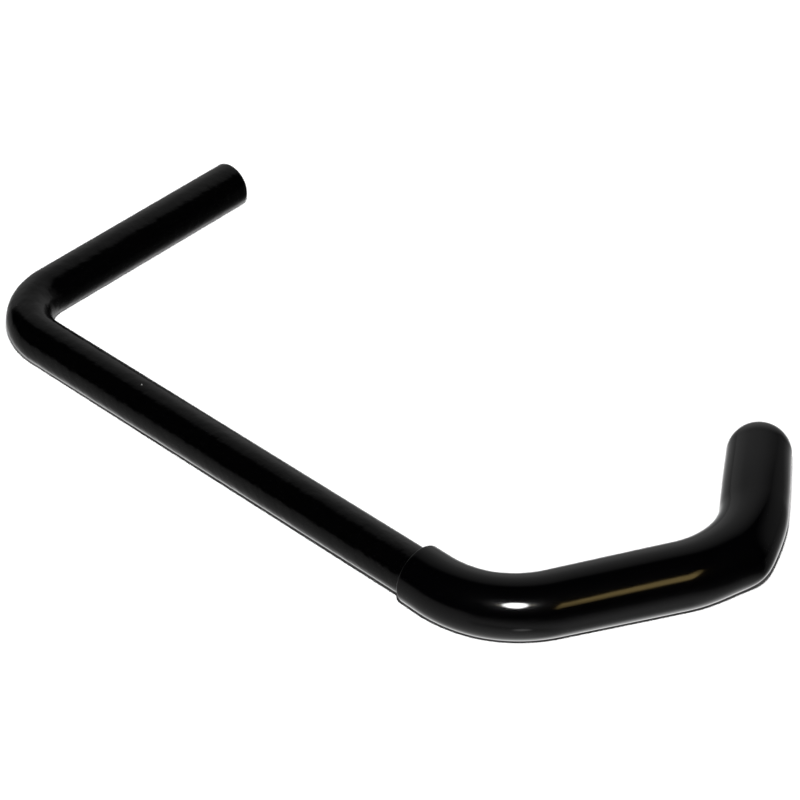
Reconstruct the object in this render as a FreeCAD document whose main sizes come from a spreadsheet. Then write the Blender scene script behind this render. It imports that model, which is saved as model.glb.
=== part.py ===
import FreeCAD, Part
import math
import os

import Sketcher

# A bicycle storage hook: a round steel bar bent in one plane, with a thick vinyl coat dipped
# over the hook at its end. It lies flat, so the bar's centre line is in the plane z = 0. The
# origin is on the centre line at the root of the stub, where the corner bend starts and a
# sleeve pushed over the stub stops. +Y points out along the stub, and +X runs along the arm
# towards the hook.

# Driving dimensions, in millimetres and degrees. Bend radii are those of the centre line.
SIZES = (
    ("rod_diameter", 9.5, "round bar, three eighths of an inch"),
    ("stub_length", 50.0, "straight of the stub, from its free end to the corner"),
    ("corner_radius", 11.75, "tight square bend between the stub and the arm"),
    ("arm_length", 100.5, "straight of the arm, from the corner to the hook"),
    ("hook_radius", 20.75, "both bends of the hook"),
    ("heel_angle", 60.0, "turn of the bend at the end of the arm"),
    ("throat_length", 23.5, "straight between the two bends of the hook"),
    ("toe_angle", 64.5, "turn of the bend before the tip"),
    ("tip_length", 19.5, "straight of the bar after the last bend"),
    ("stub_chamfer", 0.6, "bevel round the cut end of the stub"),
    ("nose_chamfer", 1.5, "bevel round the end of the bar inside the coat"),
    ("coat_lead", 3.7, "stretch of the arm that the coat covers before the first bend"),
    ("collar_wall", 1.05, "coat thickness at its collar on the arm"),
    ("heel_wall", 1.25, "coat thickness round the first bend of the hook"),
    ("toe_wall", 1.5, "coat thickness round the last bend, where it sagged"),
    ("tip_wall", 1.25, "coat thickness at the end of the tip"),
    ("nose_wall", 3.0, "coat over the end of the bar, at the top of its dome"),
    ("lip_land", 0.12, "flat ring that the rounded lip of the collar leaves"),
    ("drip_radius", 5.0, "roundness of the drip that set on the outside of the last bend"),
    ("drip_height", 0.95, "height of the drip above the coat"),
    ("drip_blend", 5.0, "hollow round the foot of the drip"),
)

RIGHT_ANGLE = math.pi / 2
UP = FreeCAD.Vector(0, 0, 1)

# Turns a round feature so that its seam runs along the inside of the hook's bends
SEAM_INSIDE = FreeCAD.Rotation(UP, 180)

# Points closer than this are one place
SAME_PLACE = 0.001

# The curves of the bar's centre line, in order from the stub's end to its tip
STUB, CORNER, ARM, HEEL, _, _, TIP = range(7)

document = FreeCAD.newDocument("storage_hook")

sheet = document.addObject("Spreadsheet::Sheet", "sizes")
for row, (alias, value, meaning) in enumerate(SIZES, start=1):
    sheet.set(f"A{row}", alias)
    sheet.set(f"B{row}", str(value))
    sheet.set(f"C{row}", meaning)
    sheet.setAlias(f"B{row}", alias)
document.recompute()


def origin_plane(body, role):
    """The plane of a body's origin that has this role."""
    return next(plane for plane in body.Origin.OriginFeatures if plane.Role == role)


def sketch_on_plane(body, name, role):
    """An empty sketch on one of the body's origin planes."""
    sketch = body.newObject("Sketcher::SketchObject", name)
    sketch.AttachmentSupport = (origin_plane(body, role), [""])
    sketch.MapMode = "FlatFace"
    return sketch


def dimension(sketch, name, constraint, expression):
    """Adds a named dimension that follows the sheet."""
    number = sketch.addConstraint(constraint)
    sketch.renameConstraint(number, name)
    sketch.setExpression(f"Constraints.{name}", expression)


def set_length(sketch, name, curve, expression):
    """Sets the length of a straight."""
    present = sketch.Geometry[curve].length()
    dimension(sketch, name, Sketcher.Constraint("Distance", curve, present), expression)


def set_bend(sketch, name, curve, radius):
    """Sets the radius of a bend."""
    present = sketch.Geometry[curve].Radius
    dimension(sketch, name, Sketcher.Constraint("Radius", curve, present), radius)


def set_turn(sketch, name, curve, angle):
    """Sets how far a bend turns."""
    arc = sketch.Geometry[curve]
    present = arc.LastParameter - arc.FirstParameter
    dimension(sketch, name, Sketcher.Constraint("Angle", curve, present), angle)


def join_tangent(sketch):
    """Makes each curve of a path run smoothly into the next."""
    for curve in range(sketch.GeometryCount - 1):
        sketch.addConstraint(Sketcher.Constraint("Tangent", curve, 2, curve + 1, 1))


def shape_hook(sketch, heel):
    """Sets the two bends of the hook and the throat between them, from the heel bend on."""
    throat = heel + 1
    toe = heel + 2
    set_bend(sketch, "heel", heel, "sizes.hook_radius")
    set_turn(sketch, "heel_turn", heel, "sizes.heel_angle")
    set_length(sketch, "throat", throat, "sizes.throat_length")
    set_bend(sketch, "toe", toe, "sizes.hook_radius")
    set_turn(sketch, "toe_turn", toe, "sizes.toe_angle")


def bar_curves():
    """The straights and left-hand bends of the centre line, from the stub's free end."""
    runs = (sheet.stub_length, sheet.arm_length, sheet.throat_length, sheet.tip_length)
    bends = (
        (sheet.corner_radius, RIGHT_ANGLE),
        (sheet.hook_radius, math.radians(sheet.heel_angle)),
        (sheet.hook_radius, math.radians(sheet.toe_angle)),
    )
    curves = []
    here = FreeCAD.Vector(0, sheet.stub_length, 0)
    heading = -RIGHT_ANGLE
    for number, length in enumerate(runs):
        forward = FreeCAD.Vector(math.cos(heading), math.sin(heading), 0)
        curves.append(Part.LineSegment(here, here + forward * length))
        if number < len(bends):
            radius, turn = bends[number]
            centre = here + forward * length + UP.cross(forward) * radius
            first = heading - RIGHT_ANGLE
            curves.append(Part.ArcOfCircle(Part.Circle(centre, UP, radius), first, first + turn))
            here = curves[-1].EndPoint
            heading += turn
    return curves


def place_on_path(feature, path, curve, station):
    """Puts a feature square to a path, at a share of one curve's length."""
    feature.AttachmentSupport = (path, [f"Edge{curve + 1}"])
    feature.MapMode = "NormalToEdge"
    feature.MapPathParameter = station
    feature.AttachmentOffset = FreeCAD.Placement(FreeCAD.Vector(0, 0, 0), SEAM_INSIDE)


def section_on_path(body, name, path, curve, station):
    """An empty sketch square to a path."""
    section = body.newObject("Sketcher::SketchObject", name)
    place_on_path(section, path, curve, station)
    return section


def section_circle(sketch, radius):
    """A circle round the sketch's own origin."""
    sketch.addGeometry(Part.Circle(FreeCAD.Vector(0, 0, 0), UP, sheet.rod_diameter / 2))
    sketch.addConstraint(Sketcher.Constraint("Coincident", 0, 3, -1, 1))
    dimension(sketch, "radius", Sketcher.Constraint("Radius", 0, sheet.rod_diameter / 2), radius)


def end_circle(shape, point):
    """The name of the round edge centred on a point of the centre line."""
    offsets = [edge.CenterOfMass.distanceToPoint(point) for edge in shape.Edges]
    return f"Edge{offsets.index(min(offsets)) + 1}"


def foot_of_ball(ball):
    """The name of the edge round the part of an added ball that stands out of its base."""
    centre = ball.Placement.Base
    for face in ball.Shape.Faces:
        if isinstance(face.Surface, Part.Sphere) and face.Surface.Center.isEqual(centre, SAME_PLACE):
            foot = face.OuterWire.Edges[0]
    numbers = [n for n, edge in enumerate(ball.Shape.Edges, start=1) if edge.isSame(foot)]
    return f"Edge{numbers[0]}"


# The bar: one length of round steel swept along its centre line, with both ends bevelled
bar = document.addObject("PartDesign::Body", "bar")
bar.Label = "steel_rod"

bar_path = sketch_on_plane(bar, "bar_path", "XY_Plane")
bar_path.addGeometry(bar_curves())
join_tangent(bar_path)
bar_path.addConstraint(Sketcher.Constraint("Coincident", STUB, 2, -1, 1))
bar_path.addConstraint(Sketcher.Constraint("Vertical", STUB))
bar_path.addConstraint(Sketcher.Constraint("Horizontal", ARM))
set_length(bar_path, "stub", STUB, "sizes.stub_length")
set_bend(bar_path, "corner", CORNER, "sizes.corner_radius")
set_length(bar_path, "arm", ARM, "sizes.arm_length")
shape_hook(bar_path, HEEL)
set_length(bar_path, "tip", TIP, "sizes.tip_length")
document.recompute()

bar_section = section_on_path(bar, "bar_section", bar_path, STUB, 0.0)
section_circle(bar_section, "sizes.rod_diameter / 2")
document.recompute()

bent_bar = bar.newObject("PartDesign::AdditivePipe", "bent_bar")
bent_bar.Profile = bar_section
bent_bar.Spine = (bar_path, [f"Edge{curve + 1}" for curve in range(bar_path.GeometryCount)])
document.recompute()

stub_bevel = bar.newObject("PartDesign::Chamfer", "stub_bevel")
stub_bevel.Base = (bent_bar, [end_circle(bent_bar.Shape, bar_path.Geometry[STUB].StartPoint)])
stub_bevel.setExpression("Size", "sizes.stub_chamfer")
document.recompute()

nose_bevel = bar.newObject("PartDesign::Chamfer", "nose_bevel")
nose_bevel.Base = (stub_bevel, [end_circle(stub_bevel.Shape, bar_path.Geometry[TIP].EndPoint)])
nose_bevel.setExpression("Size", "sizes.nose_chamfer")
document.recompute()

# The outside of the coat: a sleeve round the hook whose wall thickens to the last bend, a
# domed end, and the drip that set where the coat hung lowest while it cured
coat = document.addObject("PartDesign::Body", "coat")

# From the last bend to the middle of the dome
REACH_LENGTH = "sizes.tip_length + sizes.nose_wall - sizes.rod_diameter / 2 - sizes.tip_wall"

coat_path = sketch_on_plane(coat, "coat_path", "XY_Plane")
coat_path.addGeometry(bar_path.Geometry[ARM:])
LEAD, COAT_HEEL, COAT_THROAT, COAT_TOE, REACH = range(coat_path.GeometryCount)
join_tangent(coat_path)
coat_path.addConstraint(Sketcher.Constraint("Horizontal", LEAD))
heel_start = bar_path.Geometry[ARM].EndPoint
dimension(
    coat_path,
    "heel_start_along",
    Sketcher.Constraint("DistanceX", LEAD, 2, heel_start.x),
    "sizes.corner_radius + sizes.arm_length",
)
dimension(
    coat_path,
    "heel_start_across",
    Sketcher.Constraint("DistanceY", LEAD, 2, heel_start.y),
    "-sizes.corner_radius",
)
shape_hook(coat_path, COAT_HEEL)
set_length(coat_path, "reach", REACH, REACH_LENGTH)
set_length(coat_path, "lead", LEAD, "sizes.coat_lead")
document.recompute()


def straight_sleeve(name, curve, length, wall_before, wall_after):
    """The coat along a straight: a cone, from the wall behind it to the wall ahead of it."""
    sleeve = coat.newObject("PartDesign::AdditiveCone", f"{name}_sleeve")
    place_on_path(sleeve, coat_path, curve, 1.0)
    sleeve.setExpression("Radius1", f"sizes.rod_diameter / 2 + sizes.{wall_after}")
    sleeve.setExpression("Radius2", f"sizes.rod_diameter / 2 + sizes.{wall_before}")
    sleeve.setExpression("Height", length)
    document.recompute()
    return sleeve


def bent_sleeve(name, curve, wall):
    """The coat round a bend, with an even wall."""
    section = section_on_path(coat, f"{name}_section", coat_path, curve, 0.0)
    section_circle(section, f"sizes.rod_diameter / 2 + sizes.{wall}")
    document.recompute()
    sleeve = coat.newObject("PartDesign::AdditivePipe", f"{name}_sleeve")
    sleeve.Profile = section
    sleeve.Spine = (coat_path, [f"Edge{curve + 1}"])
    document.recompute()
    return sleeve


straight_sleeve("lead", LEAD, "sizes.coat_lead", "collar_wall", "heel_wall")
bent_sleeve("heel", COAT_HEEL, "heel_wall")
straight_sleeve("throat", COAT_THROAT, "sizes.throat_length", "heel_wall", "toe_wall")
bent_sleeve("toe", COAT_TOE, "toe_wall")
tip_sleeve = straight_sleeve("tip", REACH, REACH_LENGTH, "toe_wall", "tip_wall")

lip = coat.newObject("PartDesign::Fillet", "lip")
lip.Base = (tip_sleeve, [end_circle(tip_sleeve.Shape, coat_path.Geometry[LEAD].StartPoint)])
lip.setExpression("Radius", "sizes.collar_wall - sizes.lip_land")
document.recompute()

# The dome is the half of a ball that lies past the end of the sleeve
dome = coat.newObject("PartDesign::AdditiveSphere", "dome")
place_on_path(dome, coat_path, REACH, 1.0)
dome.setExpression("Radius", "sizes.rod_diameter / 2 + sizes.tip_wall")
dome.Angle2 = 0
document.recompute()

# The coat cured hanging along the arm, so the drip sits where the last bend runs square to it
drip = coat.newObject("PartDesign::AdditiveSphere", "drip")
place_on_path(drip, coat_path, COAT_TOE, 0.0)
drip.setExpression("MapPathParameter", "(90 - sizes.heel_angle) / sizes.toe_angle")
drip.setExpression(
    "AttachmentOffset.Base.x",
    "sizes.rod_diameter / 2 + sizes.toe_wall + sizes.drip_height - sizes.drip_radius",
)
drip.setExpression("Radius", "sizes.drip_radius")
document.recompute()

drip_foot = coat.newObject("PartDesign::Fillet", "drip_foot")
drip_foot.Base = (drip, [foot_of_ball(drip)])
drip_foot.setExpression("Radius", "sizes.drip_blend")
document.recompute()

# The coat set on the bar, so its inside is the bar's own surface
vinyl = document.addObject("Part::Cut", "vinyl")
vinyl.Label = "vinyl_coating"
vinyl.Base = coat
vinyl.Tool = bar
document.recompute()

# The finished pieces, each written to a file of its own
for item in document.Objects:
    if "Invalid" in item.State or "Error" in item.State:
        raise RuntimeError(f"{item.Label} failed: {item.State}")

os.makedirs("parts", exist_ok=True)
for piece in (bar, vinyl):
    shape = piece.Shape
    if shape.isNull() or not shape.isValid() or len(shape.Solids) != 1:
        raise RuntimeError(f"{piece.Label} is not one valid solid")
    shape.exportStep(f"parts/{piece.Label}.step")
    print(f"{piece.Label}: {shape.Volume:.1f} cubic millimetres")
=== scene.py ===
import math

import bmesh
import bpy
from mathutils import Matrix, Vector, noise


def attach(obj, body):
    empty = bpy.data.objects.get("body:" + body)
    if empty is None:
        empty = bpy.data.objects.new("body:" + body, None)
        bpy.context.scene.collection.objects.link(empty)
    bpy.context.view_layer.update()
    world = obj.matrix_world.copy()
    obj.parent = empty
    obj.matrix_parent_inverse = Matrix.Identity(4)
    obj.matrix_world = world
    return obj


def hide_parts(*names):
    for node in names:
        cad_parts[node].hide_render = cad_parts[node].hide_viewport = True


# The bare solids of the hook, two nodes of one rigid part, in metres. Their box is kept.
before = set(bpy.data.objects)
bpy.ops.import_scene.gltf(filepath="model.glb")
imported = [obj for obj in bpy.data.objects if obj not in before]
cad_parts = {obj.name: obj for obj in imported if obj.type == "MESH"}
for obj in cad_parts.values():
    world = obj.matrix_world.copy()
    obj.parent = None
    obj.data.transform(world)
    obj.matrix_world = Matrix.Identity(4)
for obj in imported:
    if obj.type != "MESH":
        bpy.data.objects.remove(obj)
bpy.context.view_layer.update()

MM = 0.001


# Camera of the catalogue picture: it looks down on the hook from its mouth side, so that the
# arm runs away to the left and the tip comes up on the right.
PICTURE_CENTRE = Vector((72.987, 21.769, 0.0)) * MM
CAMERA_PLACE = Vector((369.209, -296.768, 351.65)) * MM
SENSOR_WIDTH = 36.0
LENS_LENGTH = 135.0
PICTURE_LIFT = -0.00125

camera_data = bpy.data.cameras.new("catalogue_camera")
camera_data.sensor_width = SENSOR_WIDTH
camera_data.lens = LENS_LENGTH
camera_data.shift_y = PICTURE_LIFT
camera_data.clip_start = 0.01
camera_data.clip_end = 20.0
camera = bpy.data.objects.new("catalogue_camera", camera_data)
camera.location = CAMERA_PLACE
camera.rotation_mode = "QUATERNION"
camera.rotation_quaternion = (PICTURE_CENTRE - CAMERA_PLACE).to_track_quat("-Z", "Y")
bpy.context.scene.collection.objects.link(camera)
bpy.context.scene.camera = camera
bpy.context.scene.view_settings.view_transform = "Standard"


# White studio table: a matt sheet under the hook, lit white round it and glowing white further
# out, which keeps the hook's shadow. Gloss sees the studio's light through it, with painted shade
# inside the square corner standing in for the hook's shadow there, and it is clear from below.
TABLE_EDGE = 2.0
# Where the stub's end, the start of the hook's first bend and its last bend rest on the table
TABLE_CONTACTS = (
    Vector((0.0, 49.4, -4.6)) * MM,
    Vector((112.25, -11.75, -5.68)) * MM,
    Vector((141.1, 41.1, -6.09)) * MM,
)
PAPER_WHITE = (1.0, 1.0, 1.0, 1.0)
PAPER_FIBRES = (0.98, 0.98, 0.98, 1.0)
FIBRE_SCALE = 900.0
# Distances at which the glow starts and is full, and its level there
GLOW_FROM = 0.07
GLOW_TO = 0.35
GLOW_LEVEL = 0.6
# Painted shade for gloss inside the square corner, standing in for the hook's shadow: its middle,
# how far it reaches and where it has faded, and its level
PAINTED_SHADE_PLACE = Vector((18.0, 24.0, -5.0)) * MM
PAINTED_SHADE_TO = 30.0 * MM
CLEAR_FROM = 38.0 * MM
PAINTED_SHADE_LEVEL = 0.35


def add_node(tree, kind, settings=None, inputs=None):
    """A node of a material, world or group, with its settings and plain input values."""
    made = tree.nodes.new(kind)
    for name, value in (settings or {}).items():
        setattr(made, name, value)
    for name, value in (inputs or {}).items():
        made.inputs[name].default_value = value
    return made


def set_ramp(ramp_node, stops):
    """Grey stops of a colour ramp, as (position, level)."""
    elements = ramp_node.color_ramp.elements
    while len(elements) < len(stops):
        elements.new(1.0)
    for element, (position, level) in zip(elements, stops):
        element.position = position
        element.color = (level, level, level, 1.0)


def new_material(name):
    """An empty node material and its output."""
    material = bpy.data.materials.new(name)
    material.use_nodes = True
    material.node_tree.nodes.clear()
    return material, add_node(material.node_tree, "ShaderNodeOutputMaterial")


paper, paper_output = new_material("white_table")
paper_tree = paper.node_tree
spot = add_node(paper_tree, "ShaderNodeTexCoord").outputs["Object"]
fibres = add_node(paper_tree, "ShaderNodeTexNoise", None, {"Scale": FIBRE_SCALE, "Detail": 4.0})
paper_tone = add_node(
    paper_tree, "ShaderNodeMix", {"data_type": "RGBA"}, {"A": PAPER_FIBRES, "B": PAPER_WHITE}
)
sheet = add_node(paper_tree, "ShaderNodeBsdfDiffuse")
glow_reach = add_node(paper_tree, "ShaderNodeVectorMath", {"operation": "DISTANCE"})
glow_reach.inputs[1].default_value = TABLE_CONTACTS[1]
glow_growth = add_node(
    paper_tree,
    "ShaderNodeMapRange",
    None,
    {"From Min": GLOW_FROM, "From Max": GLOW_TO, "To Min": 0.0, "To Max": GLOW_LEVEL},
)
glow = add_node(paper_tree, "ShaderNodeEmission", None, {"Color": (1.0, 1.0, 1.0, 1.0)})
shown = add_node(paper_tree, "ShaderNodeAddShader")
seen_through = add_node(paper_tree, "ShaderNodeBsdfTransparent")
table_ray = add_node(paper_tree, "ShaderNodeLightPath")
# Painted shade: gloss sees the table darker round the square corner, standing in for the hook's
# shadow
corner_reach = add_node(paper_tree, "ShaderNodeVectorMath", {"operation": "DISTANCE"})
corner_reach.inputs[1].default_value = PAINTED_SHADE_PLACE
corner_painted_shade = add_node(
    paper_tree,
    "ShaderNodeMapRange",
    None,
    {"From Min": PAINTED_SHADE_TO, "From Max": CLEAR_FROM, "To Min": PAINTED_SHADE_LEVEL, "To Max": 1.0},
)
gloss_painted_shade = add_node(paper_tree, "ShaderNodeMix", {"data_type": "FLOAT"}, {"A": 1.0})
underside = add_node(paper_tree, "ShaderNodeNewGeometry")
cleared = add_node(paper_tree, "ShaderNodeMath", {"operation": "MAXIMUM"})
table_by_camera = add_node(paper_tree, "ShaderNodeMixShader")
table_by_gloss = add_node(paper_tree, "ShaderNodeMixShader")
paper_tree.links.new(spot, fibres.inputs["Vector"])
paper_tree.links.new(fibres.outputs["Fac"], paper_tone.inputs["Factor"])
paper_tree.links.new(paper_tone.outputs["Result"], sheet.inputs["Color"])
paper_tree.links.new(spot, glow_reach.inputs[0])
paper_tree.links.new(glow_reach.outputs["Value"], glow_growth.inputs["Value"])
paper_tree.links.new(glow_growth.outputs["Result"], glow.inputs["Strength"])
paper_tree.links.new(spot, corner_reach.inputs[0])
paper_tree.links.new(corner_reach.outputs["Value"], corner_painted_shade.inputs["Value"])
paper_tree.links.new(corner_painted_shade.outputs["Result"], gloss_painted_shade.inputs["B"])
paper_tree.links.new(table_ray.outputs["Is Glossy Ray"], gloss_painted_shade.inputs["Factor"])
paper_tree.links.new(gloss_painted_shade.outputs["Result"], seen_through.inputs["Color"])
paper_tree.links.new(sheet.outputs["BSDF"], shown.inputs[0])
paper_tree.links.new(glow.outputs["Emission"], shown.inputs[1])
paper_tree.links.new(table_ray.outputs["Is Camera Ray"], table_by_camera.inputs["Fac"])
paper_tree.links.new(sheet.outputs["BSDF"], table_by_camera.inputs[1])
paper_tree.links.new(shown.outputs["Shader"], table_by_camera.inputs[2])
paper_tree.links.new(table_ray.outputs["Is Glossy Ray"], cleared.inputs[0])
paper_tree.links.new(underside.outputs["Backfacing"], cleared.inputs[1])
paper_tree.links.new(cleared.outputs[0], table_by_gloss.inputs["Fac"])
paper_tree.links.new(table_by_camera.outputs["Shader"], table_by_gloss.inputs[1])
paper_tree.links.new(seen_through.outputs["BSDF"], table_by_gloss.inputs[2])
paper_tree.links.new(table_by_gloss.outputs["Shader"], paper_output.inputs["Surface"])

first, second, third = TABLE_CONTACTS
table_normal = (second - first).cross(third - first).normalized()
table_mesh = bmesh.new()
corners = []
for side_x, side_y in ((-1, -1), (1, -1), (1, 1), (-1, 1)):
    x = side_x * TABLE_EDGE
    y = side_y * TABLE_EDGE
    drop = (table_normal.x * (x - first.x) + table_normal.y * (y - first.y)) / table_normal.z
    corners.append(table_mesh.verts.new((x, y, first.z - drop)))
table_mesh.faces.new(corners)
table_data = bpy.data.meshes.new("studio_table")
table_mesh.to_mesh(table_data)
table_mesh.free()
table_data.materials.append(paper)
table = bpy.data.objects.new("studio_table", table_data)
bpy.context.scene.collection.objects.link(table)


# Grey studio wall: an upright sheet behind the hook, dimmer towards its top and its two ends.
# It is only there for gloss, as the broad grey bands along the bar and the coating.
WALL_RIGHT = Vector((141.0, 340.0, -6.0)) * MM
WALL_LEFT = Vector((-345.0, -35.0, -6.0)) * MM
WALL_HEIGHT = 0.66
# Brightness against the share of the wall's height, and of its length from the right
WALL_UP = (
    (0.0, 0.34),
    (0.15, 0.33),
    (0.20, 0.28),
    (0.30, 0.23),
    (0.46, 0.17),
    (0.60, 0.13),
    (0.74, 0.08),
    (0.86, 0.025),
    (1.0, 0.0),
)
WALL_ALONG = (
    (0.0, 0.2),
    (0.04, 0.35),
    (0.12, 0.62),
    (0.20, 0.85),
    (0.29, 1.0),
    (0.40, 1.0),
    (0.50, 0.85),
    (0.72, 0.8),
    (0.86, 0.6),
    (0.93, 0.25),
    (1.0, 0.0),
)

wall_mesh = bmesh.new()
wall_layer = wall_mesh.loops.layers.uv.new("along_and_up")
wall_rise = Vector((0.0, 0.0, WALL_HEIGHT))
wall_face = wall_mesh.faces.new(
    [
        wall_mesh.verts.new(point)
        for point in (WALL_RIGHT, WALL_LEFT, WALL_LEFT + wall_rise, WALL_RIGHT + wall_rise)
    ]
)
for loop, place in zip(wall_face.loops, ((0.0, 0.0), (1.0, 0.0), (1.0, 1.0), (0.0, 1.0))):
    loop[wall_layer].uv = place
wall_data = bpy.data.meshes.new("studio_wall")
wall_mesh.to_mesh(wall_data)
wall_mesh.free()
wall_material, wall_output = new_material("grey_wall")
wall_tree = wall_material.node_tree
wall_places = add_node(wall_tree, "ShaderNodeUVMap", {"uv_map": "along_and_up"})
wall_split = add_node(wall_tree, "ShaderNodeSeparateXYZ")
along_wall = add_node(wall_tree, "ShaderNodeValToRGB")
up_wall = add_node(wall_tree, "ShaderNodeValToRGB")
wall_tone = add_node(wall_tree, "ShaderNodeVectorMath", {"operation": "MULTIPLY"})
wall_light = add_node(wall_tree, "ShaderNodeEmission")
set_ramp(along_wall, WALL_ALONG)
set_ramp(up_wall, WALL_UP)
wall_tree.links.new(wall_places.outputs["UV"], wall_split.inputs["Vector"])
wall_tree.links.new(wall_split.outputs["X"], along_wall.inputs["Fac"])
wall_tree.links.new(wall_split.outputs["Y"], up_wall.inputs["Fac"])
wall_tree.links.new(along_wall.outputs["Color"], wall_tone.inputs[0])
wall_tree.links.new(up_wall.outputs["Color"], wall_tone.inputs[1])
wall_tree.links.new(wall_tone.outputs["Vector"], wall_light.inputs["Color"])
wall_tree.links.new(wall_light.outputs["Emission"], wall_output.inputs["Surface"])
wall_data.materials.append(wall_material)
wall = bpy.data.objects.new("studio_wall", wall_data)
wall.visible_camera = False
wall.visible_diffuse = False
wall.visible_transmission = False
wall.visible_shadow = False
bpy.context.scene.collection.objects.link(wall)


# Studio round the hook: the pale floor, brighter beyond the hook than on the camera's side and
# dark to the right. Only gloss sees it so; the camera sees white, and what is matt gets a
# plain level.
PLAIN_LEVEL = 0.12
FLOOR_LEVEL = 2.0
# Each table below gives a level against how nearly a direction points along an axis: 0 is away from
# the axis, 0.5 square to it and 1 along it. The two floor tables use the upright axis.
FLOOR_NEAR = (
    (0.0, 0.25),
    (0.03, 0.20),
    (0.067, 0.17),
    (0.117, 0.15),
    (0.18, 0.135),
    (0.33, 0.11),
    (0.413, 0.095),
    (0.456, 0.08),
    (0.495, 0.06),
    (0.52, 0.015),
    (0.56, 0.0),
)
FLOOR_FAR = (
    (0.0, 1.0),
    (0.08, 1.0),
    (0.12, 0.8),
    (0.18, 0.5),
    (0.21, 0.42),
    (0.25, 0.3),
    (0.33, 0.18),
    (0.41, 0.14),
    (0.49, 0.11),
    (0.51, 0.05),
    (0.54, 0.0),
)
BEYOND_AXIS = (-0.45, 0.72, -0.53)
BEYOND = (
    (0.73, 0.0),
    (0.785, 0.07),
    (0.832, 0.2),
    (0.87, 0.35),
    (0.94, 0.5),
    (0.97, 0.8),
    (0.99, 1.0),
)
RIGHT_AXIS = (-0.0974, 0.4255, 0.8997)
RIGHT_EDGE = (
    (0.03, 1.0),
    (0.065, 0.7),
    (0.09, 0.7),
    (0.115, 1.0),
    (0.15, 1.0),
    (0.175, 0.9),
    (0.233, 0.6),
    (0.266, 0.43),
    (0.30, 0.18),
    (0.375, 0.08),
    (0.5, 0.04),
)
LEFT_AXIS = (-0.9962, -0.0872, 0.0)
LEFT_EDGE = ((0.06, 0.0), (0.115, 0.35), (0.23, 0.42), (0.40, 0.42), (0.49, 1.0))
GLIMMER_AXIS = (0.2048, 0.9632, 0.1736)
GLIMMER = ((0.93, 0.0), (0.965, 0.025), (0.985, 0.045), (1.0, 0.05))
LAMP_IMAGE_AXIS = (0.5523, -0.4973, -0.6691)
LAMP_IMAGE = ((0.9965, 0.0), (0.9985, 0.4), (1.0, 0.5))

world = bpy.data.worlds.new("studio")
world.use_nodes = True
bpy.context.scene.world = world
world_tree = world.node_tree
world_tree.nodes.clear()


def join_math(tree, operation, first_socket, second_socket):
    """A maths node of two linked values; returns its output."""
    made = add_node(tree, "ShaderNodeMath", {"operation": operation})
    tree.links.new(first_socket, made.inputs[0])
    tree.links.new(second_socket, made.inputs[1])
    return made.outputs[0]


def half_ramp(tree, socket, stops):
    """Brightness over a value from -1 to 1, read through a ramp whose middle is 0."""
    scaled = add_node(tree, "ShaderNodeMapRange", None, {"From Min": -1.0})
    ramp = add_node(tree, "ShaderNodeValToRGB")
    set_ramp(ramp, stops)
    tree.links.new(socket, scaled.inputs["Value"])
    tree.links.new(scaled.outputs["Result"], ramp.inputs["Fac"])
    return ramp.outputs["Color"]


def towards(tree, socket, axis):
    """How nearly a direction points along an axis: 1 along it, -1 away from it."""
    dot = add_node(tree, "ShaderNodeVectorMath", {"operation": "DOT_PRODUCT"})
    dot.inputs[1].default_value = axis
    tree.links.new(socket, dot.inputs[0])
    return dot.outputs["Value"]


ray_direction = add_node(world_tree, "ShaderNodeTexCoord").outputs["Generated"]
ray_height = towards(world_tree, ray_direction, (0.0, 0.0, 1.0))
floor_tone = add_node(world_tree, "ShaderNodeMix", {"data_type": "FLOAT"})
beyond_part = half_ramp(world_tree, towards(world_tree, ray_direction, BEYOND_AXIS), BEYOND)
world_tree.links.new(beyond_part, floor_tone.inputs["Factor"])
world_tree.links.new(half_ramp(world_tree, ray_height, FLOOR_NEAR), floor_tone.inputs["A"])
world_tree.links.new(half_ramp(world_tree, ray_height, FLOOR_FAR), floor_tone.inputs["B"])
right_part = half_ramp(world_tree, towards(world_tree, ray_direction, RIGHT_AXIS), RIGHT_EDGE)
left_part = half_ramp(world_tree, towards(world_tree, ray_direction, LEFT_AXIS), LEFT_EDGE)
lit_part = join_math(world_tree, "MAXIMUM", right_part, left_part)
floor_light = join_math(world_tree, "MULTIPLY", floor_tone.outputs["Result"], lit_part)
lamp_nearness = towards(world_tree, ray_direction, LAMP_IMAGE_AXIS)
lamp_image = half_ramp(world_tree, lamp_nearness, LAMP_IMAGE)
glimmer = half_ramp(world_tree, towards(world_tree, ray_direction, GLIMMER_AXIS), GLIMMER)
floor_and_lamp = join_math(world_tree, "MAXIMUM", floor_light, lamp_image)
mirrored = join_math(world_tree, "MAXIMUM", floor_and_lamp, glimmer)

WHITE = (1.0, 1.0, 1.0, 1.0)
gloss_light = add_node(world_tree, "ShaderNodeBackground", None, {"Strength": FLOOR_LEVEL})
world_tree.links.new(mirrored, gloss_light.inputs["Color"])
plain_light = add_node(
    world_tree, "ShaderNodeBackground", None, {"Color": WHITE, "Strength": PLAIN_LEVEL}
)
white_backdrop = add_node(
    world_tree, "ShaderNodeBackground", None, {"Color": WHITE, "Strength": 1.0}
)
world_ray = add_node(world_tree, "ShaderNodeLightPath")
world_by_gloss = add_node(world_tree, "ShaderNodeMixShader")
world_by_camera = add_node(world_tree, "ShaderNodeMixShader")
world_output = add_node(world_tree, "ShaderNodeOutputWorld")
world_tree.links.new(world_ray.outputs["Is Glossy Ray"], world_by_gloss.inputs["Fac"])
world_tree.links.new(plain_light.outputs["Background"], world_by_gloss.inputs[1])
world_tree.links.new(gloss_light.outputs["Background"], world_by_gloss.inputs[2])
world_tree.links.new(world_ray.outputs["Is Camera Ray"], world_by_camera.inputs["Fac"])
world_tree.links.new(world_by_gloss.outputs["Shader"], world_by_camera.inputs[1])
world_tree.links.new(white_backdrop.outputs["Background"], world_by_camera.inputs[2])
world_tree.links.new(world_by_camera.outputs["Shader"], world_output.inputs["Surface"])


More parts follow.
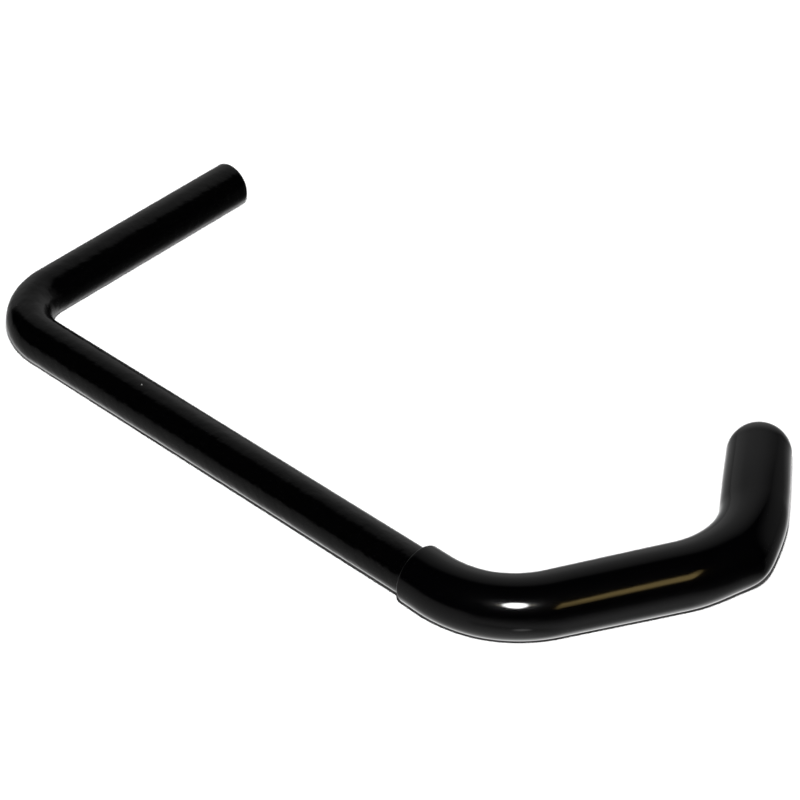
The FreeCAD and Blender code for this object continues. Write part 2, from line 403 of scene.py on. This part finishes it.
# Studio lamps: a small key lamp just above the camera lights the table and casts the thin shadow
# line along the hook. Gloss sees instead a soft oval lamp with a warm edge, the bright lens on
# the heel, and a warm lamp to the right, the streak on the throat.
KEY_LEVEL = 1.05
KEY_RADIUS = 0.009
KEY_DISTANCE = 0.499
HEEL_CROWN = Vector((112.0, -13.0, 4.0)) * MM
THROAT_CROWN = Vector((139.0, 8.0, 4.0)) * MM
LAMP_DISTANCE = 1.0
PURE_WHITE = (1.0, 1.0, 1.0)
PALE_WARM_WHITE = (1.0, 0.9, 0.62)
WARM_WHITE = (1.0, 0.735, 0.285)


def compass(azimuth, elevation):
    """The unit direction at an azimuth from +X and an elevation, in degrees."""
    turn, rise = math.radians(azimuth), math.radians(elevation)
    flat = math.cos(rise)
    return Vector((flat * math.cos(turn), flat * math.sin(turn), math.sin(rise)))


def add_gloss_lamp(name, aim, from_direction, along, width, height, level, colour):
    """An oval lamp for gloss alone. It faces aim, with its width laid along a direction."""
    data = bpy.data.lights.new(name, "AREA")
    data.shape = "ELLIPSE"
    data.size = width
    data.size_y = height
    data.color = colour
    area = math.pi / 4 * width * height
    data.energy = level * math.pi * area
    lamp = bpy.data.objects.new(name, data)
    back = from_direction.normalized()
    across_axis = (along - back * along.dot(back)).normalized()
    turned = Matrix((across_axis, back.cross(across_axis), back)).transposed()
    lamp.rotation_mode = "QUATERNION"
    lamp.rotation_quaternion = turned.to_quaternion()
    lamp.location = aim + back * LAMP_DISTANCE
    lamp.visible_camera = False
    lamp.visible_diffuse = False
    bpy.context.scene.collection.objects.link(lamp)


# A point lamp of this power lights the flat table at the key level
key_direction = compass(-47.7, 50.7)
key_data = bpy.data.lights.new("key_lamp", "POINT")
key_data.shadow_soft_size = KEY_RADIUS
key_data.energy = KEY_LEVEL * 4 * math.pi**2 / key_direction.z
key_data.use_nodes = True
key_tree = key_data.node_tree
key_tree.nodes.clear()
key_falloff = add_node(key_tree, "ShaderNodeLightFalloff", None, {"Strength": 1.0})
key_light = add_node(key_tree, "ShaderNodeEmission")
key_output = add_node(key_tree, "ShaderNodeOutputLight")
key_tree.links.new(key_falloff.outputs["Constant"], key_light.inputs["Strength"])
key_tree.links.new(key_light.outputs["Emission"], key_output.inputs["Surface"])
key_lamp = bpy.data.objects.new("key_lamp", key_data)
key_lamp.location = HEEL_CROWN + key_direction * KEY_DISTANCE
key_lamp.visible_glossy = False
bpy.context.scene.collection.objects.link(key_lamp)

soft_direction = compass(-46.0, 47.5)
across_heel = compass(44.0, 0.0)
add_gloss_lamp(
    "soft_lamp",
    aim=HEEL_CROWN,
    from_direction=soft_direction,
    along=across_heel,
    width=0.27,
    height=0.33,
    level=28.0,
    colour=PURE_WHITE,
)
add_gloss_lamp(
    "soft_lamp_edge",
    aim=HEEL_CROWN,
    from_direction=soft_direction,
    along=across_heel,
    width=0.42,
    height=0.16,
    level=1.6,
    colour=PALE_WARM_WHITE,
)

warm_direction = compass(-8.0, 34.0)
along_streak = compass(0.0, 42.0) - compass(-16.0, 26.0)
for name, width, height, level in (
    ("warm_lamp", 0.24, 0.13, 2.4),
    ("warm_lamp_edge", 0.38, 0.15, 1.5),
    ("warm_lamp_rim", 0.54, 0.17, 0.9),
):
    add_gloss_lamp(
        name,
        aim=THROAT_CROWN,
        from_direction=warm_direction,
        along=along_streak,
        width=width,
        height=height,
        level=level,
        colour=WARM_WHITE,
    )


# Steel bar: one round bar, cold bent in one plane and powder coated glossy black. It has a
# sawn stub, a tight square corner, a long arm, and runs on inside the coating to near its tip.
BAR_RADIUS = 4.57 * MM
STUB = 50.0 * MM
CORNER_RADIUS = 11.75 * MM
ARM = 100.5 * MM
HOOK_RADIUS = 20.75 * MM
HEEL_TURN = math.radians(60.0)
THROAT = 23.5 * MM
TOE_TURN = math.radians(64.5)
TIP = 19.5 * MM
CUT_EDGE = 0.75 * MM
NOSE_EDGE = 1.5 * MM
# Sides of the round section, and the distance between sections on straights and in bends
BAR_SIDES = 128
STRAIGHT_STEP = 2.0 * MM
BEND_STEP = 0.35 * MM
# Radii of the rings on the cut face, as shares of the face, and steps round its edge
FACE_RINGS = (0.1, 0.54975, 0.9995)
EDGE_STEPS = 8


def walk(runs, start, heading, straight_step, bend_step):
    """Stations (point, heading, distance) along straight runs (length, 0) and left bends
    (radius, angle), a step apart or less."""
    point, distance = Vector(start), 0.0
    stations = [(point.copy(), heading, distance)]
    for size, turn in runs:
        length = size * turn if turn else size
        count = max(1, math.ceil(length / (bend_step if turn else straight_step)))
        for index in range(1, count + 1):
            part = index / count
            if turn:
                middle = heading + turn * part / 2
                chord = 2 * size * math.sin(turn * part / 2)
                place = point + chord * Vector((math.cos(middle), math.sin(middle)))
            else:
                place = point + size * part * Vector((math.cos(heading), math.sin(heading)))
            stations.append((place, heading + turn * part, distance + length * part))
        point, heading, distance = stations[-1][0], stations[-1][1], distance + length
    return stations


def ring(station, radius_at, sides, forward=0.0):
    """Points round the line at a station; angle 0 is the outside of the hook's bends and a
    quarter turn is up. radius_at gives the radius at each angle."""
    place, heading, _ = station
    ahead = Vector((math.cos(heading), math.sin(heading)))
    outward = Vector((math.sin(heading), -math.cos(heading)))
    centre = place + ahead * forward
    points = []
    for side in range(sides):
        angle = 2 * math.pi * side / sides
        radius = radius_at(angle)
        flat = centre + outward * (radius * math.cos(angle))
        points.append(Vector((flat.x, flat.y, radius * math.sin(angle))))
    return points


def even(radius):
    """The same radius at every angle."""
    return lambda angle: radius


def skin(name, rings, lengths):
    """A smooth mesh through rings of points, with its ends closed to a point. Its UV map holds
    the distance along and round, in metres."""
    mesh = bmesh.new()
    loops = [[mesh.verts.new(point) for point in points] for points in rings]
    layer = mesh.loops.layers.uv.new("along_and_round")
    sides = len(loops[0])
    girth = 2 * math.pi * BAR_RADIUS

    def face(corners, places):
        made = mesh.faces.new(corners)
        made.smooth = True
        for loop, place in zip(made.loops, places):
            loop[layer].uv = place

    for near, far, start, end in zip(loops, loops[1:], lengths, lengths[1:]):
        for side in range(sides):
            following = (side + 1) % sides
            low, high = girth * side / sides, girth * (side + 1) / sides
            face(
                (near[side], near[following], far[following], far[side]),
                ((start, low), (start, high), (end, high), (end, low)),
            )
    for rim, length, flip in ((loops[0], lengths[0], True), (loops[-1], lengths[-1], False)):
        centre = sum((vertex.co for vertex in rim), Vector()) / sides
        pole = mesh.verts.new(centre)
        for side in range(sides):
            following = (side + 1) % sides
            low, high = girth * side / sides, girth * (side + 1) / sides
            corners = (rim[side], rim[following], pole)
            places = ((length, low), (length, high), (length, low))
            if flip:
                corners, places = corners[::-1], places[::-1]
            face(corners, places)
    bmesh.ops.recalc_face_normals(mesh, faces=mesh.faces)
    data = bpy.data.meshes.new(name)
    mesh.to_mesh(data)
    mesh.free()
    piece = bpy.data.objects.new(name, data)
    bpy.context.scene.collection.objects.link(piece)
    return piece


bar_runs = (
    (STUB, 0.0),
    (CORNER_RADIUS, math.pi / 2),
    (ARM, 0.0),
    (HOOK_RADIUS, HEEL_TURN),
    (THROAT, 0.0),
    (HOOK_RADIUS, TOE_TURN),
    (TIP, 0.0),
)
bar_stations = walk(bar_runs, (0.0, STUB), -math.pi / 2, STRAIGHT_STEP, BEND_STEP)
stub_end = bar_stations[0]
bar_end = bar_stations[-1]
bar_rings = []
bar_lengths = []
for share in FACE_RINGS:
    bar_rings.append(ring(stub_end, even((BAR_RADIUS - CUT_EDGE) * share), BAR_SIDES))
    bar_lengths.append(0.0)
for step in range(EDGE_STEPS + 1):
    turn = math.pi / 2 * step / EDGE_STEPS
    radius = BAR_RADIUS - CUT_EDGE * (1 - math.sin(turn))
    ahead = CUT_EDGE * (1 - math.cos(turn))
    bar_rings.append(ring(stub_end, even(radius), BAR_SIDES, ahead))
    bar_lengths.append(ahead)
for station in bar_stations[1:-1]:
    bar_rings.append(ring(station, even(BAR_RADIUS), BAR_SIDES))
    bar_lengths.append(station[2])
for ahead, radius in ((-NOSE_EDGE, BAR_RADIUS), (0.0, BAR_RADIUS - NOSE_EDGE)):
    bar_rings.append(ring(bar_end, even(radius), BAR_SIDES, ahead))
    bar_lengths.append(bar_end[2] + ahead)
bar = skin("powder_coated_bar", bar_rings, bar_lengths)


def new_group(name, inputs, outputs):
    """An empty node group with named number, vector or colour sockets."""
    group = bpy.data.node_groups.new(name, "ShaderNodeTree")
    for label, kind in inputs:
        group.interface.new_socket(label, in_out="INPUT", socket_type=kind)
    for label, kind in outputs:
        group.interface.new_socket(label, in_out="OUTPUT", socket_type=kind)
    return group, add_node(group, "NodeGroupInput"), add_node(group, "NodeGroupOutput")


NUMBER = "NodeSocketFloat"
VECTOR = "NodeSocketVector"

# The skin of a cured coat: fine peel on slower sags
peel_group, peel_in, peel_out = new_group(
    "cured_skin",
    (("Vector", VECTOR), ("Peel Scale", NUMBER), ("Sag Scale", NUMBER), ("Sag Share", NUMBER)),
    (("Height", NUMBER),),
)
peel = add_node(peel_group, "ShaderNodeTexNoise", None, {"Detail": 2.0, "Roughness": 0.45})
sag = add_node(peel_group, "ShaderNodeTexNoise", None, {"Detail": 1.0, "Roughness": 0.4})
sum_up = add_node(peel_group, "ShaderNodeMath", {"operation": "MULTIPLY_ADD"})
peel_group.links.new(peel_in.outputs["Vector"], peel.inputs["Vector"])
peel_group.links.new(peel_in.outputs["Vector"], sag.inputs["Vector"])
peel_group.links.new(peel_in.outputs["Peel Scale"], peel.inputs["Scale"])
peel_group.links.new(peel_in.outputs["Sag Scale"], sag.inputs["Scale"])
peel_group.links.new(sag.outputs["Fac"], sum_up.inputs[0])
peel_group.links.new(peel_in.outputs["Sag Share"], sum_up.inputs[1])
peel_group.links.new(peel.outputs["Fac"], sum_up.inputs[2])
peel_group.links.new(sum_up.outputs[0], peel_out.inputs["Height"])

# Rare round specks of dust that settled on the object
dust_group, dust_in, dust_out = new_group(
    "settled_dust",
    (("Vector", VECTOR), ("Scale", NUMBER), ("Speck Size", NUMBER), ("Rarity", NUMBER)),
    (("Mask", NUMBER),),
)
specks = add_node(dust_group, "ShaderNodeTexVoronoi", {"feature": "F1"}, {"Randomness": 1.0})
near_speck = add_node(dust_group, "ShaderNodeMath", {"operation": "LESS_THAN"})
chosen = add_node(dust_group, "ShaderNodeSeparateColor")
rare = add_node(dust_group, "ShaderNodeMath", {"operation": "GREATER_THAN"})
both = add_node(dust_group, "ShaderNodeMath", {"operation": "MULTIPLY"})
dust_group.links.new(dust_in.outputs["Vector"], specks.inputs["Vector"])
dust_group.links.new(dust_in.outputs["Scale"], specks.inputs["Scale"])
dust_group.links.new(specks.outputs["Distance"], near_speck.inputs[0])
dust_group.links.new(dust_in.outputs["Speck Size"], near_speck.inputs[1])
dust_group.links.new(specks.outputs["Color"], chosen.inputs["Color"])
dust_group.links.new(chosen.outputs["Red"], rare.inputs[0])
dust_group.links.new(dust_in.outputs["Rarity"], rare.inputs[1])
dust_group.links.new(near_speck.outputs[0], both.inputs[0])
dust_group.links.new(rare.outputs[0], both.inputs[1])
dust_group.links.new(both.outputs[0], dust_out.inputs["Mask"])


def place_group(tree, group, vector_socket, values):
    """A group placed in a material with its own values."""
    placed = add_node(tree, "ShaderNodeGroup", {"node_tree": group}, values)
    tree.links.new(vector_socket, placed.inputs["Vector"])
    return placed


def roughness_range(tree, cloud_socket, roughness):
    """Roughness that wanders between two values with a cloudy noise; returns its output."""
    spread = {"From Min": 0.3, "From Max": 0.7, "To Min": roughness[0], "To Max": roughness[1]}
    ranged = add_node(tree, "ShaderNodeMapRange", None, spread)
    tree.links.new(cloud_socket, ranged.inputs["Value"])
    return ranged.outputs["Result"]


POWDER_BLACK = (0.0002, 0.0002, 0.00025, 1.0)
POWDER_GREY = (0.0005, 0.0005, 0.0006, 1.0)
POWDER_PEEL = {"Peel Scale": 620.0, "Sag Scale": 240.0, "Sag Share": 0.8}
POWDER_DUST = {"Scale": 420.0, "Speck Size": 0.035, "Rarity": 0.93}
POWDER_ROUGHNESS = (0.12, 0.18)
POWDER_RELIEF = 0.09 * MM
MOTTLE_SCALE = 900.0
DUST_GREY = (0.03, 0.03, 0.029, 1.0)
# One pale fleck that sits on the arm
FLECK_GREY = (0.24, 0.24, 0.235, 1.0)
FLECK_PLACE = Vector((38.9, -11.8, 4.57)) * MM
FLECK_REACH = 0.17 * MM

powder, powder_output = new_material("black_powder_coat")
powder_tree = powder.node_tree
powder_place = add_node(powder_tree, "ShaderNodeTexCoord").outputs["Object"]
powder_peel = place_group(powder_tree, peel_group, powder_place, POWDER_PEEL)
powder_dust = place_group(powder_tree, dust_group, powder_place, POWDER_DUST)
mottle = add_node(powder_tree, "ShaderNodeTexNoise", None, {"Scale": MOTTLE_SCALE, "Detail": 3.0})
mottle_tone = add_node(
    powder_tree, "ShaderNodeMix", {"data_type": "RGBA"}, {"A": POWDER_BLACK, "B": POWDER_GREY}
)
powder_dusted = add_node(powder_tree, "ShaderNodeMix", {"data_type": "RGBA"}, {"B": DUST_GREY})
fleck_gap = add_node(powder_tree, "ShaderNodeVectorMath", {"operation": "DISTANCE"})
fleck_gap.inputs[1].default_value = FLECK_PLACE
fleck = add_node(powder_tree, "ShaderNodeMath", {"operation": "LESS_THAN"})
fleck.inputs[1].default_value = FLECK_REACH
flecked = add_node(powder_tree, "ShaderNodeMix", {"data_type": "RGBA"}, {"B": FLECK_GREY})
powder_gloss = roughness_range(powder_tree, mottle.outputs["Fac"], POWDER_ROUGHNESS)
powder_bump = add_node(
    powder_tree, "ShaderNodeBump", None, {"Strength": 1.0, "Distance": POWDER_RELIEF}
)
powder_surface = add_node(powder_tree, "ShaderNodeBsdfPrincipled", None, {"IOR": 1.5})
powder_tree.links.new(powder_place, mottle.inputs["Vector"])
powder_tree.links.new(mottle.outputs["Fac"], mottle_tone.inputs["Factor"])
powder_tree.links.new(mottle_tone.outputs["Result"], powder_dusted.inputs["A"])
powder_tree.links.new(powder_dust.outputs["Mask"], powder_dusted.inputs["Factor"])
powder_tree.links.new(powder_dusted.outputs["Result"], flecked.inputs["A"])
powder_tree.links.new(powder_place, fleck_gap.inputs[0])
powder_tree.links.new(fleck_gap.outputs["Value"], fleck.inputs[0])
powder_tree.links.new(fleck.outputs[0], flecked.inputs["Factor"])
powder_tree.links.new(flecked.outputs["Result"], powder_surface.inputs["Base Color"])
powder_tree.links.new(powder_gloss, powder_surface.inputs["Roughness"])
powder_tree.links.new(powder_peel.outputs["Height"], powder_bump.inputs["Height"])
powder_tree.links.new(powder_bump.outputs["Normal"], powder_surface.inputs["Normal"])
powder_tree.links.new(powder_surface.outputs["BSDF"], powder_output.inputs["Surface"])

bar.data.materials.append(powder)
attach(bar, "root")
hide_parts("steel_rod")


# Vinyl coating: a thick soft skin, dipped over the hook and cured. It starts in a rounded
# collar, swells towards the last bend, carries a set drip there and closes in a dome.
COLLAR_LEAD = 4.3 * MM
COAT_TIP = 16.3 * MM
DOME_RADIUS = 6.02 * MM
LIP = 0.62 * MM
COAT_SIDES = 144
COAT_STEP = 0.35 * MM
LIP_STEPS = 12
# The sleeve's rings start past the lip, at this distance
SLEEVE_START = 1.2 * LIP
DOME_STEPS = 26
# Radius and height of the dome's last ring, as shares of the dome's radius
DOME_CAP_RADIUS = 0.04
DOME_CAP_HEIGHT = 0.9995
# Outer radius against the distance from the collar, both in millimetres
THICKNESS_KNOTS = (
    (0.0, 5.60),
    (3.7, 5.65),
    (14.0, 5.79),
    (25.4, 5.91),
    (48.9, 6.12),
    (72.3, 6.2),
    (80.0, 6.2),
    (88.8, 6.02),
)
# Gentle waves of the dipped skin: their pitch in millimetres, and their height
WAVE_PITCH = 9.0
WAVE_HEIGHT = 0.012 * MM
# How far the collar sits off centre, how soon that fades, and to which side it leans
LEAN = 0.22 * MM
LEAN_REACH = 14.0 * MM
LEAN_ANGLE = math.radians(138.0)
# The drip: its height, its half lengths before and after its top, its half width, how flat its
# top is, and the turn of the last bend at which it hangs
DRIP_HEIGHT = 1.42 * MM
DRIP_BEFORE = 3.0 * MM
DRIP_AFTER = 4.5 * MM
DRIP_WIDTH = 3.6 * MM
DRIP_FLATNESS = 1.7
DRIP_TURN = math.radians(31.5)


def curve_through(knots, value):
    """A smooth curve through (place, height) knots, read at a place."""
    if value <= knots[0][0]:
        return knots[0][1]
    for index in range(len(knots) - 1):
        (x0, y0), (x1, y1) = knots[index], knots[index + 1]
        if value <= x1:
            before = knots[max(0, index - 1)]
            after = knots[min(len(knots) - 1, index + 2)]
            slope0 = (y1 - before[1]) / (x1 - before[0])
            slope1 = (after[1] - y0) / (after[0] - x0)
            part, span = (value - x0) / (x1 - x0), x1 - x0
            return (
                y0 * (1 + 2 * part) * (1 - part) ** 2
                + slope0 * span * part * (1 - part) ** 2
                + y1 * part * part * (3 - 2 * part)
                - slope1 * span * part * part * (1 - part)
            )
    return knots[-1][1]


coat_runs = (
    (COLLAR_LEAD, 0.0),
    (HOOK_RADIUS, HEEL_TURN),
    (THROAT, 0.0),
    (HOOK_RADIUS, TOE_TURN),
    (COAT_TIP, 0.0),
)
collar_start = (CORNER_RADIUS + ARM - COLLAR_LEAD, -CORNER_RADIUS)
coat_stations = walk(coat_runs, collar_start, 0.0, COAT_STEP, COAT_STEP)
toe_start = COLLAR_LEAD + HOOK_RADIUS * HEEL_TURN + THROAT
drip_at = toe_start + HOOK_RADIUS * DRIP_TURN


def coat_radius(distance, angle):
    """Radius of the coating's outside at a distance along the bar and an angle round it."""
    plain = curve_through(THICKNESS_KNOTS, distance / MM) * MM
    wave = noise.noise(Vector((distance / MM / WAVE_PITCH, math.cos(angle), math.sin(angle))))
    along = (distance - drip_at) * (HOOK_RADIUS + plain) / HOOK_RADIUS
    round_angle = math.atan2(math.sin(angle), math.cos(angle))
    half_length = DRIP_BEFORE if along < 0 else DRIP_AFTER
    off = math.hypot(along / half_length, plain * round_angle / DRIP_WIDTH)
    drip = DRIP_HEIGHT * math.exp(-math.log(2.0) * off**DRIP_FLATNESS)
    lean = LEAN * max(0.0, 1.0 - distance / LEAN_REACH) * math.cos(angle - LEAN_ANGLE)
    return plain + wave * WAVE_HEIGHT + drip + lean


def lip_radius(turn):
    """Radius round the lip, from the bar's surface at 0 to the coating's at a quarter turn."""
    return lambda angle: BAR_RADIUS + (coat_radius(LIP, angle) - BAR_RADIUS) * math.sin(turn)


def sleeve_radius(distance, share=1.0):
    """Radius round the coating at a distance, or a share of it for the dome."""
    return lambda angle: coat_radius(distance, angle) * share


collar = coat_stations[0]
dome_foot = coat_stations[-1]
coat_rings = []
coat_lengths = []
for step in range(LIP_STEPS + 1):
    turn = math.pi / 2 * step / LIP_STEPS
    ahead = LIP * (1 - math.cos(turn))
    coat_rings.append(ring(collar, lip_radius(turn), COAT_SIDES, ahead))
    coat_lengths.append(ahead)
for station in coat_stations:
    if station[2] > SLEEVE_START:
        coat_rings.append(ring(station, sleeve_radius(station[2]), COAT_SIDES))
        coat_lengths.append(station[2])
for step in range(1, DOME_STEPS):
    turn = math.pi / 2 * step / DOME_STEPS
    ahead = DOME_RADIUS * math.sin(turn)
    coat_rings.append(
        ring(dome_foot, sleeve_radius(dome_foot[2], math.cos(turn)), COAT_SIDES, ahead)
    )
    coat_lengths.append(dome_foot[2] + ahead)
coat_rings.append(
    ring(dome_foot, even(DOME_CAP_RADIUS * DOME_RADIUS), COAT_SIDES, DOME_RADIUS * DOME_CAP_HEIGHT)
)
coat_lengths.append(dome_foot[2] + DOME_RADIUS)
coating = skin("dipped_coating", coat_rings, coat_lengths)

VINYL_BLACK = (0.0002, 0.0002, 0.0003, 1.0)
VINYL_GREY = (0.0005, 0.0005, 0.0007, 1.0)
VINYL_PEEL = {"Peel Scale": 700.0, "Sag Scale": 130.0, "Sag Share": 6.0}
VINYL_DUST = {"Scale": 380.0, "Speck Size": 0.03, "Rarity": 0.95}
VINYL_ROUGHNESS = (0.075, 0.105)
VINYL_RELIEF = 0.004 * MM
CLOUD_SCALE = 160.0
# Roughness of the lip's edge, and the distances over which it turns glossy
LIP_ROUGHNESS = 0.4
DULL_TO = 0.3 * MM
GLOSSY_FROM = 0.85 * MM

vinyl, vinyl_output = new_material("black_dipped_vinyl")
vinyl_tree = vinyl.node_tree
vinyl_place = add_node(vinyl_tree, "ShaderNodeTexCoord").outputs["Object"]
vinyl_peel = place_group(vinyl_tree, peel_group, vinyl_place, VINYL_PEEL)
vinyl_dust = place_group(vinyl_tree, dust_group, vinyl_place, VINYL_DUST)
cloud = add_node(vinyl_tree, "ShaderNodeTexNoise", None, {"Scale": CLOUD_SCALE, "Detail": 3.0})
cloud_tone = add_node(
    vinyl_tree, "ShaderNodeMix", {"data_type": "RGBA"}, {"A": VINYL_BLACK, "B": VINYL_GREY}
)
vinyl_dusted = add_node(vinyl_tree, "ShaderNodeMix", {"data_type": "RGBA"}, {"B": DUST_GREY})
vinyl_gloss = roughness_range(vinyl_tree, cloud.outputs["Fac"], VINYL_ROUGHNESS)
vinyl_map = add_node(vinyl_tree, "ShaderNodeUVMap", {"uv_map": "along_and_round"})
lip_distance = add_node(vinyl_tree, "ShaderNodeSeparateXYZ")
dull_lip = add_node(
    vinyl_tree,
    "ShaderNodeMapRange",
    None,
    {"From Min": DULL_TO, "From Max": GLOSSY_FROM, "To Min": LIP_ROUGHNESS, "To Max": 0.0},
)
vinyl_roughness = add_node(vinyl_tree, "ShaderNodeMath", {"operation": "MAXIMUM"})
vinyl_bump = add_node(
    vinyl_tree, "ShaderNodeBump", None, {"Strength": 1.0, "Distance": VINYL_RELIEF}
)
vinyl_surface = add_node(
    vinyl_tree,
    "ShaderNodeBsdfPrincipled",
    None,
    {"IOR": 1.5, "Coat Weight": 0.12, "Coat Roughness": 0.23},
)
vinyl_tree.links.new(vinyl_map.outputs["UV"], lip_distance.inputs["Vector"])
vinyl_tree.links.new(lip_distance.outputs["X"], dull_lip.inputs["Value"])
vinyl_tree.links.new(vinyl_gloss, vinyl_roughness.inputs[0])
vinyl_tree.links.new(dull_lip.outputs["Result"], vinyl_roughness.inputs[1])
vinyl_tree.links.new(vinyl_place, cloud.inputs["Vector"])
vinyl_tree.links.new(cloud.outputs["Fac"], cloud_tone.inputs["Factor"])
vinyl_tree.links.new(cloud_tone.outputs["Result"], vinyl_dusted.inputs["A"])
vinyl_tree.links.new(vinyl_dust.outputs["Mask"], vinyl_dusted.inputs["Factor"])
vinyl_tree.links.new(vinyl_dusted.outputs["Result"], vinyl_surface.inputs["Base Color"])
vinyl_tree.links.new(vinyl_roughness.outputs[0], vinyl_surface.inputs["Roughness"])
vinyl_tree.links.new(vinyl_peel.outputs["Height"], vinyl_bump.inputs["Height"])
vinyl_tree.links.new(vinyl_bump.outputs["Normal"], vinyl_surface.inputs["Normal"])
vinyl_tree.links.new(vinyl_surface.outputs["BSDF"], vinyl_output.inputs["Surface"])

coating.data.materials.append(vinyl)
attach(coating, "root")
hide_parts("vinyl_coating")
